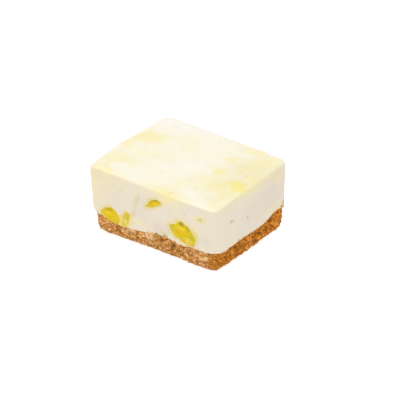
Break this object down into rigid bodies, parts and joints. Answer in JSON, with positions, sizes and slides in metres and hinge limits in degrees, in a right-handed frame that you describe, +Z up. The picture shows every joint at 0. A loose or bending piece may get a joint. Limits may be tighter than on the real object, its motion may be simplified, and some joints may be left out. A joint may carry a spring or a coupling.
{
  "type": "lemon cheesecake slice",
  "caption": "Rectangular bar of lemon cheesecake cut from a tray, with a biscuit crumb base, a pale cream filling and ribbons of lemon curd.",
  "frame": {"origin": "middle of the footprint, on the surface that the bar rests on", "axes": "+X along the bar's length, +Y from the front cut face to the back one, +Z up"},
  "size_m": [0.0815, 0.0665, 0.0386],
  "materials": {
    "biscuit_crumb": "pressed biscuit crumbs bound with butter, rough and matte",
    "cheesecake_cream": "set cream cheese filling, smooth, softly satin, faintly marbled with lemon",
    "lemon_curd": "lemon curd, glossy and slightly translucent"
  },
  "bodies": {
    "root": {"biscuit_base": "biscuit_crumb", "cheesecake_filling": "cheesecake_cream", "curd_ribbon_left": "lemon_curd", "curd_ribbon_left_tail": "lemon_curd", "curd_ribbon_middle": "lemon_curd", "curd_ribbon_right": "lemon_curd"}
  },
  "joints": []
}
